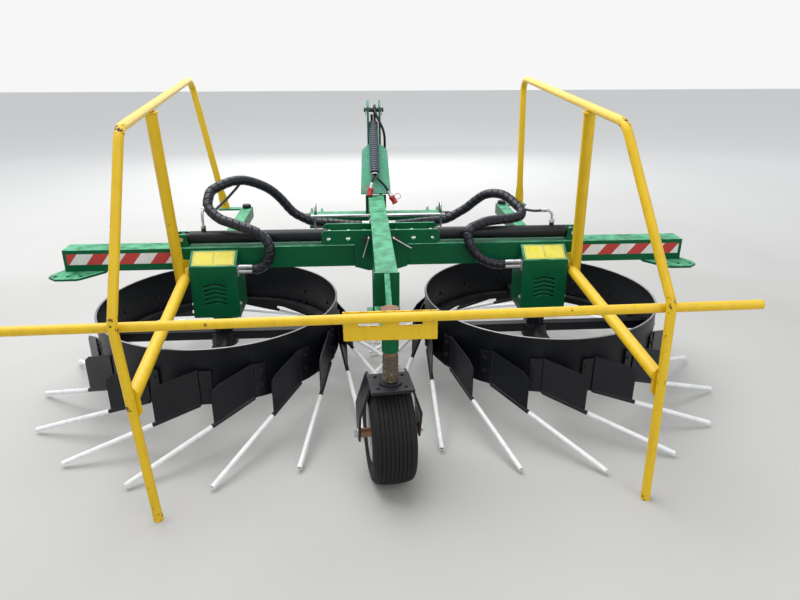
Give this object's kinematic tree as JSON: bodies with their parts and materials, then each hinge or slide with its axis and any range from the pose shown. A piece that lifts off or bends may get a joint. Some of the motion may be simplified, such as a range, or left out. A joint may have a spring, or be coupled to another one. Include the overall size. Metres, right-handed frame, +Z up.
{
  "type": "twin rotor hay rake",
  "caption": "Mounted hay rake with sliding tined rotors on a cross beam, tube guards, swivelling rear wheel and three-point headstock.",
  "frame": {"origin": "floor level, on the middle plane between the rotors, at the middle of the overall length", "axes": "+X to the right seen from behind, +Y forwards to the tractor, +Z up"},
  "size_m": [3.2254, 2.0163, 1.4048],
  "materials": {
    "green_paint": "glossy enamel, worn and dusty",
    "yellow_paint": "glossy enamel, chipped at the bends",
    "black_paint": "satin enamel",
    "rim_paint": "satin silver paint",
    "bare_steel": "bare, greased",
    "bright_steel": "zinc plated",
    "dark_pin": "darkened and greasy",
    "rod_chrome": "polished",
    "grey_sleeve": "ribbed, matte",
    "white_sleeve": "matte",
    "hose_rubber": "satin",
    "tyre": "matte"
  },
  "bodies": {
    "root": {"spine": "green_paint", "centre_bracket": "green_paint", "inner_beam": "bare_steel", "headstock": "green_paint", "frame_pins": "dark_pin", "parking_leg": "green_paint", "swivel_bracket": "green_paint", "rear_bar": "yellow_paint", "hose_carrier": "bright_steel", "hose_sleeve": "grey_sleeve", "hose_couplings": "bright_steel", "supply_hose_left": "hose_rubber", "supply_hose_right": "hose_rubber", "hose_bundle_left": "hose_rubber", "hose_bundle_right": "hose_rubber", "cylinder_rod_left": "rod_chrome", "cylinder_rod_right": "rod_chrome"},
    "left_arm": {"arm_left": "green_paint", "cover_left": "green_paint", "drive_left": "green_paint", "arm_fittings_left": "bright_steel", "guard_carrier_left": "green_paint", "guard_loop_left": "yellow_paint", "guard_stay_left": "yellow_paint", "cylinder_barrel_left": "black_paint"},
    "left_rotor": {"rotor_ring_left": "black_paint", "rotor_spider_left": "black_paint", "tine_flaps_left": "black_paint", "tine_sleeves_left": "white_sleeve"},
    "right_arm": {"arm_right": "green_paint", "cover_right": "green_paint", "drive_right": "green_paint", "arm_fittings_right": "bright_steel", "guard_carrier_right": "green_paint", "guard_loop_right": "yellow_paint", "guard_stay_right": "yellow_paint", "cylinder_barrel_right": "black_paint"},
    "right_rotor": {"rotor_ring_right": "black_paint", "rotor_spider_right": "black_paint", "tine_flaps_right": "black_paint", "tine_sleeves_right": "white_sleeve"},
    "caster": {"caster_fork": "black_paint", "wheel_axle": "bare_steel"},
    "wheel": {"wheel_rim": "rim_paint", "wheel_tyre": "tyre"}
  },
  "joints": [
    {"name": "left_arm_slide", "type": "slide", "parent": "root", "child": "left_arm", "axis": [-1, 0, 0], "range_m": [0, 0.3], "deforming": ["hose_bundle_left"]},
    {"name": "right_arm_slide", "type": "slide", "parent": "root", "child": "right_arm", "axis": [1, 0, 0], "range_m": [0, 0.3], "deforming": ["hose_bundle_right"]},
    {"name": "left_rotor_spin", "type": "hinge", "parent": "left_arm", "child": "left_rotor", "pos_m": [-0.758, 0, 0.3], "axis": [0, 0, 1], "continuous": true},
    {"name": "right_rotor_spin", "type": "hinge", "parent": "right_arm", "child": "right_rotor", "pos_m": [0.758, 0, 0.3], "axis": [0, 0, 1], "continuous": true},
    {"name": "caster_swivel", "type": "hinge", "parent": "root", "child": "caster", "pos_m": [0, -0.83, 0.5], "axis": [0, 0, 1], "continuous": true},
    {"name": "wheel_spin", "type": "hinge", "parent": "caster", "child": "wheel", "pos_m": [-0.00523, -0.78027, 0.2], "axis": [0.9945, 0.1045, 0], "continuous": true}
  ],
  "couplings": [
    {"joint": "right_rotor_spin", "follows": "left_rotor_spin", "ratio": -1}
  ]
}
